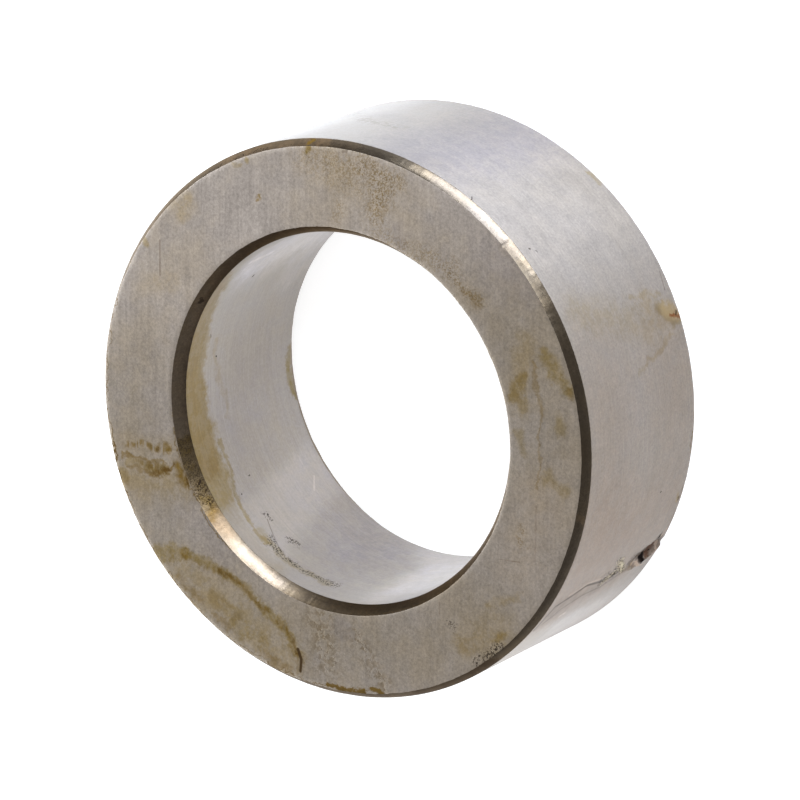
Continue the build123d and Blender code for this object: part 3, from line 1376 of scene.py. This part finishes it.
OUTSIDE_MARKS = (
    # Painted shade and a browner film: the side that faces the viewer is darker and browner.
    Mark(HAZE_AND_SHADE, ((-64.0, 5.0), (-98.0, 5.0), (-98.0, 18.0), (-64.0, 18.0)), 8.0, 0.9),
    Mark(HAZE_AND_SHADE, ((-96.0, 3.0), (-99.0, 20.0)), 5.5, 1.0),
    Mark(HAZE_AND_SHADE, ((-126.0, 4.0), (-135.0, 12.0), (-128.0, 20.0)), 6.5, 1.0),
    Mark(FILM, ((-114.0, 21.0), (-124.0, 19.0), (-136.0, 16.0)), 3.0, 0.8),
    Mark(HAZE_AND_SHADE, ((-86.0, 20.0), (-92.0, 14.0), (-101.0, 21.0)), 4.8, 0.9),
    Mark(HAZE_AND_SHADE, ((-105.0, 7.5), (-106.4, 12.0), (-106.8, 18.0), (-109.0, 21.6)), 2.2, 1.0),
    # The stain low on the wall with rust in its middle, and its runs.
    Mark(FILM, ((-44.0, 19.0), (-49.0, 11.0), (-52.0, 6.0)), 2.0, 0.7),
    Mark(FILM, ((-52.0, 2.4), (-48.6, 6.2)), 1.6, 0.7),
    Mark(OIL, ((-52.4, 1.8), (-50.0, 4.4)), 0.9, 0.85),
    Mark(OIL, ((-53.6, 2.8),), 0.5, 0.6),
    Mark(AMBER, ((-51.8, 1.6), (-50.0, 3.6)), 0.7, 0.8),
    Mark(BLOOM, ((-52.0, 1.4), (-51.2, 2.6)), 0.30, 0.9),
    Mark(CRUST, ((-51.8, 1.8), (-51.2, 1.5)), 0.13, 0.9),
    Mark(SCRATCH, ((-42.7, 1.7), (-46.4, 2.2)), 0.07, 0.6),
    Mark(FILM, ((-46.4, 3.4), (-45.0, 9.0)), 0.3, 0.8),
    Mark(FILM, ((-55.8, 3.6), (-58.1, 9.0), (-59.5, 11.3)), 0.3, 0.9),
    # Rust and oil along the lower edge, and small spots.
    Mark(AMBER, ((-90.2, 1.9), (-91.0, 2.0)), 0.34, 1.0),
    Mark(RUST, ((-90.0, 1.7), (-90.4, 1.8)), 0.18, 0.9),
    Mark(OIL, ((-21.0, 1.7), (-18.4, 1.4)), 0.4, 0.8),
    Mark(BROWN, ((-72.0, 1.1), (-96.0, 1.1)), 0.15, 0.8),
    Mark(SPOT, ((-86.9, 6.6),), 0.12, 0.8),
    Mark(SPOT, ((-13.9, 22.1), (-14.4, 22.2)), 0.12, 0.7),
    Mark(SPOT, ((-28.8, 20.8),), 0.14, 0.8),
    Mark(SPOT, ((-29.6, 20.2),), 0.10, 0.6),
    # Painted highlight and painted shade over brighter and darker stretches, and a patch of pits.
    Mark(PAINTED_HIGHLIGHT, ((-121.0, 2.5), (-121.5, 10.0), (-121.0, 20.0)), 4.4, 1.0),
    Mark(PAINTED_HIGHLIGHT, ((-119.0, 6.0), (-119.0, 14.0)), 2.0, 0.8),
    # Painted shade where the wall mirrors the gap between two lamps.
    Mark(PAINTED_SHADE, ((0.0, 3.0), (1.0, 20.0)), 4.8, 1.0),
    Mark(PAINTED_SHADE, ((-3.0, 4.0), (3.0, 20.0)), 4.6, 1.0),
    Mark(GREY_PITS, ((35.0, 6.0), (24.0, 13.0), (14.0, 14.4)), 1.0, 0.8),
    Mark(PAINTED_SHADE, ((24.0, 10.0), (16.0, 11.0)), 1.2, 0.5),
    Mark(PAINTED_HIGHLIGHT, ((32.0, 3.0), (36.0, 12.0), (40.0, 20.0)), 5.0, 0.7),
    # The torn gouge: its dirty floor, the hole in it, and the pale lip that it threw up.
    Mark(TORN, ((-103.4, 6.4), (-102.9, 4.4), (-101.4, 2.2)), 1.0, 0.9),
    Mark(BROWN, ((-103.0, 6.4), (-102.0, 4.2), (-100.6, 2.4)), 0.7, 0.9),
    Mark(BLOOM, ((-103.2, 2.9), (-101.4, 2.2)), 0.45, 0.6),
    Mark(HOLE, ((-104.9, 3.4), (-104.3, 3.9)), 0.40, 1.0),
    Mark(HOLE, ((-102.9, 2.4),), 0.12, 0.9),
    Mark(OIL, ((-105.4, 6.6), (-104.9, 5.4)), 0.45, 1.0),
    Mark(PALE, ((-105.5, 5.6), (-105.9, 4.2), (-106.3, 2.4)), 0.18, 1.0),
    Mark(PALE, ((-105.4, 1.8), (-103.0, 1.5), (-100.5, 1.9)), 0.14, 0.7),
    Mark(SPOT, ((-100.6, 2.9), (-99.6, 2.4)), 0.14, 0.9),
    Mark(SPOT, ((-98.9, 2.3),), 0.12, 0.9),
    Mark(PALE, ((-99.8, 1.9), (-98.0, 1.5)), 0.13, 0.8),
    # The score that runs from the gouge up the wall, with flecks beside it.
    Mark(FILM, ((-105.4, 6.6), (-105.8, 11.0), (-105.6, 16.0), (-107.6, 21.5)), 1.3, 1.0),
    # Painted shade and film darken the wall beside the score.
    Mark(HAZE_AND_SHADE, ((-107.0, 8.0), (-108.6, 12.0), (-108.8, 16.0), (-111.0, 20.6)), 1.8, 1.0),
    Mark(OIL, ((-106.6, 8.4), (-107.4, 12.0), (-107.2, 16.0), (-109.2, 20.6)), 0.80, 0.75),
    Mark(BRIGHT_SCRATCH, ((-103.4, 8.4), (-104.6, 11.6), (-103.8, 15.6), (-104.8, 19.0)), 0.16, 0.5),
    Mark(
        SCRATCH,
        (
            (-104.4, 7.9), (-105.7, 9.8), (-105.3, 12.6), (-104.3, 15.6), (-105.5, 18.0),
            (-106.5, 21.0), (-109.2, 21.6), (-112.9, 21.9),
        ),
        0.16, 1.0,
    ),
    Mark(
        SCRATCH,
        ((-106.2, 8.2), (-107.6, 11.0), (-107.3, 15.0), (-108.8, 18.6), (-112.0, 21.0)),
        0.10, 0.7,
    ),
    Mark(CHALK, ((-101.4, 10.0), (-103.0, 8.8), (-105.0, 7.4)), 0.50, 1.0),
    Mark(CHALK, ((-104.6, 9.6), (-105.8, 11.4)), 0.50, 1.0),
    Mark(BLACK_PITS, ((-101.2, 10.2), (-103.2, 8.6), (-105.0, 7.6)), 0.50, 0.9),
    Mark(BLACK_PITS, ((-104.4, 9.6), (-105.6, 12.0)), 0.60, 1.0),
    Mark(CHALK, ((-101.9, 9.8), (-102.4, 9.0), (-104.2, 8.2)), 0.16, 1.0),
    Mark(CHALK, ((-104.6, 10.2), (-105.4, 10.6)), 0.14, 1.0),
    Mark(SPOT, ((-104.2, 8.6),), 0.12, 1.0),
    Mark(SPOT, ((-105.4, 7.2),), 0.12, 1.0),
    Mark(SPOT, ((-105.2, 9.3), (-105.9, 9.9)), 0.11, 1.0),
    Mark(SPOT, ((-106.3, 9.4),), 0.10, 0.9),
    Mark(SPOT, ((-107.6, 10.2),), 0.12, 0.9),
    Mark(BRIGHT_SCRATCH, ((-111.8, 16.3), (-112.2, 17.0)), 0.20, 0.8),
)

BORE_MARKS = (
    # Painted shade and painted highlight: darker and brighter stretches.
    Mark(PAINTED_SHADE, ((166.0, 2.0), (181.0, 8.0)), 5.5, 1.0),
    Mark(PAINTED_SHADE, ((180.0, 6.0), (186.0, 19.0)), 3.6, 0.7),
    Mark(PAINTED_SHADE, ((108.0, 10.0), (124.0, 14.0)), 5.0, 0.6),
    Mark(PAINTED_HIGHLIGHT, ((57.0, 4.0), (62.0, 16.0)), 4.4, 1.0),
    Mark(PAINTED_HIGHLIGHT, ((56.0, 6.0), (60.0, 16.0)), 3.2, 1.0),
    Mark(PAINTED_HIGHLIGHT, ((71.0, 3.0), (76.0, 5.0)), 2.6, 0.5),
    Mark(PAINTED_HIGHLIGHT, ((147.0, 3.0), (151.0, 11.0), (160.0, 20.0)), 3.2, 0.7),
    Mark(PAINTED_HIGHLIGHT, ((202.0, 2.0), (210.0, 6.0), (212.0, 18.0)), 4.2, 1.0),
    Mark(PAINTED_HIGHLIGHT, ((208.0, 8.0), (211.0, 15.0)), 3.0, 0.5),
    # The dried oil below the upper chamfer, its runs, and a stain at the lower end.
    Mark(VARNISH, ((60.0, 23.4), (72.0, 23.0)), 3.2, 0.4),
    Mark(VARNISH, ((72.0, 23.6), (90.0, 23.0), (105.0, 22.4), (122.0, 21.2), (136.0, 21.2)), 3.5, 1.0),
    Mark(VARNISH, ((137.0, 21.4), (150.0, 22.6), (166.0, 23.2)), 3.2, 0.35),
    Mark(VARNISH, ((74.0, 22.8), (90.0, 21.8), (112.0, 20.9), (128.0, 20.7)), 2.7, 0.8),
    Mark(OIL, ((126.0, 16.9), (134.0, 16.9), (142.0, 18.0), (152.0, 18.8), (162.0, 19.1)), 0.25, 0.8),
    Mark(FILM, ((94.0, 17.0), (98.0, 17.1), (113.0, 14.6), (119.0, 14.8)), 0.35, 0.6),
    Mark(OIL, ((156.0, 18.6), (172.0, 19.0), (184.0, 18.8)), 0.6, 0.6),
    Mark(SCRATCH, ((154.0, 16.0), (166.0, 18.4)), 0.08, 0.5),
    Mark(OIL, ((103.0, 0.6), (107.2, 1.5), (111.0, 1.9), (117.0, 1.9), (122.0, 1.4)), 0.55, 1.0),
    # Pits, scratches and spots.
    Mark(BLACK_PITS, ((152.0, 15.9), (155.0, 15.7)), 0.35, 0.7),
    Mark(BLACK_PITS, ((160.4, 17.7), (163.4, 18.9)), 0.45, 1.0),
    Mark(BLACK_PITS, ((163.4, 15.7), (166.5, 15.2)), 0.45, 1.0),
    Mark(BLACK_PITS, ((164.6, 18.6), (172.6, 18.6)), 0.45, 1.0),
    Mark(BLACK_PITS, ((176.0, 18.9), (187.0, 18.3)), 0.45, 0.9),
    Mark(BRIGHT_SCRATCH, ((147.5, 4.2), (151.6, 5.7)), 0.12, 0.6),
    Mark(BRIGHT_SCRATCH, ((60.4, 15.0), (61.6, 18.4)), 0.35, 0.5),
    Mark(SPOT, ((72.2, 14.7),), 0.17, 1.0),
    Mark(SPOT, ((140.1, 14.6),), 0.12, 0.9),
    Mark(SPOT, ((143.6, 17.2),), 0.12, 0.9),
    Mark(SPOT, ((152.8, 15.6),), 0.14, 0.9),
    Mark(SPOT, ((91.0, 18.6),), 0.12, 0.9),
    Mark(SPOT, ((99.0, 16.6),), 0.13, 1.0),
)

OUTER_CHAMFER_MARKS = (
    # Old oxide on the hidden side, and painted highlight and painted light where the chamfer catches the
    # lamps.
    Mark(OXIDE, ((112.0, 23.1), (134.9, 23.1)), 0.7, 0.9),
    Mark(OXIDE, ((135.1, 23.1), (170.0, 23.1), (205.0, 23.1), (236.0, 23.1)), 0.7, 0.9),
    Mark(PAINTED_LIGHT, ((14.0, 23.0), (22.0, 23.0)), 0.6, 0.25),
    Mark(RUBBED_AND_HIGHLIGHT, ((-28.0, 23.1), (-6.0, 23.1)), 0.6, 1.0),
    Mark(PAINTED_HIGHLIGHT, ((-24.0, 23.1), (-16.0, 23.1)), 0.6, 0.8),
    Mark(RUBBED_AND_HIGHLIGHT, ((54.0, 23.2), (84.0, 23.2)), 0.6, 1.0),
    Mark(PAINTED_LIGHT, ((21.0, 23.0), (34.0, 23.1), (46.0, 23.2)), 0.6, 0.8),
    Mark(RUST, ((24.4, 23.1),), 0.30, 0.9),
    Mark(BLACK_PITS, ((28.0, 23.4), (52.0, 23.4)), 0.16, 1.0),
    Mark(PAINTED_LIGHT, ((-84.5, 23.0),), 0.55, 0.5),
)

BORE_CHAMFER_MARKS = (
    # Oil and pits where the dried oil reaches the chamfer, painted shade over darker stretches, and a
    # painted highlight.
    Mark(SPOT, ((76.0, 22.9),), 0.20, 0.7),
    Mark(OIL, ((123.0, 22.7), (145.0, 22.7)), 0.9, 0.9),
    Mark(HAZE_AND_SHADE, ((146.0, 22.7), (152.0, 22.7)), 0.9, 1.0),
    Mark(PAINTED_SHADE, ((123.0, 22.7), (136.0, 22.7)), 0.9, 1.0),
    Mark(PAINTED_SHADE, ((243.0, 22.8), (258.0, 22.8)), 0.9, 1.0),
    Mark(RUBBED_AND_HIGHLIGHT, ((160.0, 22.7), (174.0, 22.7)), 0.9, 1.0),
    Mark(BLACK_PITS, ((122.0, 22.8), (140.0, 22.7)), 0.9, 0.7),
    Mark(SPOT, ((135.8, 22.8),), 0.14, 1.0),
)

FINISHES: dict[Zone, SteelFinish] = {
    Zone.END_FACE: SteelFinish(
        "ground_end_face", (0.326, 0.283, 0.251), (0.311, 0.260, 0.209), 0.36, Lay.STRAIGHT,
        cloud=0.05, grain=0.26, lines=0.08, marks=FACE_MARKS,
    ),
    Zone.OUTSIDE: SteelFinish(
        "ground_outside", (0.236, 0.210, 0.195), (0.232, 0.202, 0.178), 0.36, Lay.ROUND,
        cloud=0.10, grain=0.21, lines=0.09, radius=30.0, facing_deg=-45.0, anisotropy=0.72,
        oiled=0.6, edge_tint=(1.0, 0.97, 0.94), marks=OUTSIDE_MARKS,
    ),
    Zone.BORE: SteelFinish(
        "honed_bore", (0.412, 0.375, 0.354), (0.407, 0.360, 0.310), 0.34, Lay.ROUND,
        grain=0.11, lines=0.09, radius=20.0, facing_deg=120.0, oiled=0.6, marks=BORE_MARKS,
    ),
    # The chamfers' dark colour is partly a darker turned finish and partly painted shade, standing for the
    # dark surroundings that bare steel mirrors.
    Zone.OUTER_CHAMFER: SteelFinish(
        "dark_outer_chamfer", (0.056, 0.045, 0.034), (0.054, 0.041, 0.028), 0.25, Lay.ROUND,
        cloud=0.1, grain=0.25, lines=0.06, relief=1.2, edge_tint=(0.97, 0.84, 0.71),
        radius=29.6, facing_deg=-45.0, marks=OUTER_CHAMFER_MARKS,
    ),
    Zone.BORE_CHAMFER: SteelFinish(
        "dark_bore_chamfer", (0.088, 0.068, 0.049), (0.083, 0.060, 0.037), 0.33, Lay.ROUND,
        cloud=0.1, grain=0.25, lines=0.06, relief=1.2, edge_tint=(0.92, 0.77, 0.61),
        radius=20.4, facing_deg=120.0, marks=BORE_CHAMFER_MARKS,
    ),
}


# Studio


@dataclass(frozen=True)
class Viewpoint:
    """Where the camera stands, given from the point that it looks at."""

    target: tuple[float, float, float] = (3.69 * MM, -4.27 * MM, 19.57 * MM)
    bearing_deg: float = -45.0
    elevation_deg: float = 55.08
    roll_deg: float = -113.26
    distance: float = 657.0 * MM
    lens: float = 283.5
    sensor: float = 36.0
    nearest: float = 0.01

    def place(self) -> None:
        """Adds the camera and makes it the scene's."""
        data = bpy.data.cameras.new("camera")
        data.lens = self.lens
        data.sensor_width = self.sensor
        data.clip_start = self.nearest
        away = direction(self.bearing_deg, self.elevation_deg)
        camera = bpy.data.objects.new("camera", data)
        roll = Matrix.Rotation(math.radians(self.roll_deg), 3, "Z")
        turn = away.to_track_quat("Z", "Y").to_matrix() @ roll
        spot = Vector(self.target) + away * self.distance
        camera.matrix_world = Matrix.Translation(spot) @ turn.to_4x4()
        bpy.context.scene.collection.objects.link(camera)
        bpy.context.scene.camera = camera


@dataclass(frozen=True)
class Panel:
    """A soft box: a rectangular lamp that faces the ring."""

    name: str
    bearing_deg: float
    elevation_deg: float
    distance: float
    width: float
    height: float
    watts: float
    colour: Colour = (1.0, 1.0, 1.0)

    def place(self, target: Vector) -> None:
        """Adds the lamp, pointed at the target.

        Args:
            target: the point that it faces.
        """
        data = bpy.data.lights.new(self.name, "AREA")
        data.shape = "RECTANGLE"
        data.size, data.size_y = self.width, self.height
        data.energy = self.watts
        data.color = self.colour
        away = direction(self.bearing_deg, self.elevation_deg)
        lamp = bpy.data.objects.new(self.name, data)
        turn = away.to_track_quat("Z", "Y").to_matrix()
        lamp.matrix_world = Matrix.Translation(target + away * self.distance) @ turn.to_4x4()
        lamp.visible_camera = False
        bpy.context.scene.collection.objects.link(lamp)


@dataclass(frozen=True)
class Studio:
    """The pale floor, the world and the lamps."""

    floor_size: float = 4.0
    floor_colour: Colour = (0.5, 0.5, 0.5)
    floor_lift: float = 0.83
    floor_sheen: float = 0.55
    world_level: float = 0.70
    panels: tuple[Panel, ...] = (
        Panel("key_box", 70.0, 46.0, 0.7, 0.5, 0.5, 2.0, (0.86, 0.93, 1.0)),
        Panel("fill_box", -14.0, 32.0, 0.6, 0.40, 0.25, 4.6, (0.80, 0.89, 1.0)),
        Panel("low_box", -3.0, 8.0, 0.45, 0.40, 0.12, 5.6, (0.80, 0.89, 1.0)),
        Panel("back_box", 122.0, 18.0, 0.7, 1.1, 0.30, 9.0, (0.86, 0.93, 1.0)),
    )

    def floor(self) -> None:
        """Adds the floor, which shows nearly white and keeps the ring's shadow."""
        bm = bmesh.new()
        bmesh.ops.create_grid(bm, x_segments=1, y_segments=1, size=self.floor_size / 2)
        mesh = bpy.data.meshes.new("floor")
        bm.to_mesh(mesh)
        bm.free()
        floor = bpy.data.objects.new("floor", mesh)
        bpy.context.scene.collection.objects.link(floor)
        material = bpy.data.materials.new("floor")
        material.use_nodes = True
        wiring = Wiring(material.node_tree)
        wiring.tree.nodes.clear()
        paint = wiring.add("ShaderNodeBsdfDiffuse")
        paint.inputs["Color"].default_value = (*self.floor_colour, 1.0)
        glow = wiring.add("ShaderNodeEmission")
        path = wiring.add("ShaderNodeLightPath")
        shown = wiring.maths("MULTIPLY", path.outputs["Is Camera Ray"], self.floor_lift)
        mirrored = wiring.maths("MULTIPLY", path.outputs["Is Glossy Ray"], self.floor_sheen)
        wiring.put(glow.inputs["Strength"], wiring.maths("ADD", shown, mirrored))
        both = wiring.add("ShaderNodeAddShader")
        wiring.put(both.inputs[0], paint.outputs[0])
        wiring.put(both.inputs[1], glow.outputs[0])
        out = wiring.add("ShaderNodeOutputMaterial")
        wiring.put(out.inputs["Surface"], both.outputs[0])
        mesh.materials.append(material)

    def world(self) -> None:
        """Lights the whole scene evenly, and shows white where nothing stands."""
        world = bpy.data.worlds.new("world")
        bpy.context.scene.world = world
        world.use_nodes = True
        wiring = Wiring(world.node_tree)
        sky = wiring.tree.nodes["Background"]
        path = wiring.add("ShaderNodeLightPath")
        level = wiring.add("ShaderNodeMapRange")
        wiring.put(level.inputs["Value"], path.outputs["Is Camera Ray"])
        wiring.put(level.inputs["To Min"], self.world_level)
        wiring.put(level.inputs["To Max"], 1.0)
        wiring.put(sky.inputs["Strength"], level.outputs[0])
        wiring.put(sky.inputs["Color"], (1.0, 1.0, 1.0, 1.0))

    def set_up(self, target: Vector) -> None:
        """Builds the floor, the world and every lamp.

        Args:
            target: the point that the lamps face.
        """
        self.floor()
        self.world()
        for panel in self.panels:
            panel.place(target)


def main() -> None:
    """Builds the ring, dresses it and sets up the studio."""
    logging.basicConfig(level=logging.INFO, format="%(name)s: %(message)s")
    low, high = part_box(NODE)
    bore = next(mount for mount in frame["record"]["mounts"] if mount["name"] == "bore")
    ring = SleeveMesh(
        outer_radius=(high.x - low.x) / 2,
        bore_radius=bore["dims"]["r_mm"] * MM,
        length=high.z - low.z,
    ).build()
    for zone in Zone:
        ring.data.materials.append(FINISHES[zone].material())
        log.info("finish: %s", FINISHES[zone].name)
    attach(ring, "root")
    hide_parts(NODE)
    log.info("ring: %d faces", len(ring.data.polygons))
    Studio().set_up(Vector((0.0, 0.0, (high.z - low.z) / 2)))
    Viewpoint().place()
    scene = bpy.context.scene
    scene.view_settings.view_transform = "Standard"


if __name__ == "__main__":
    main()
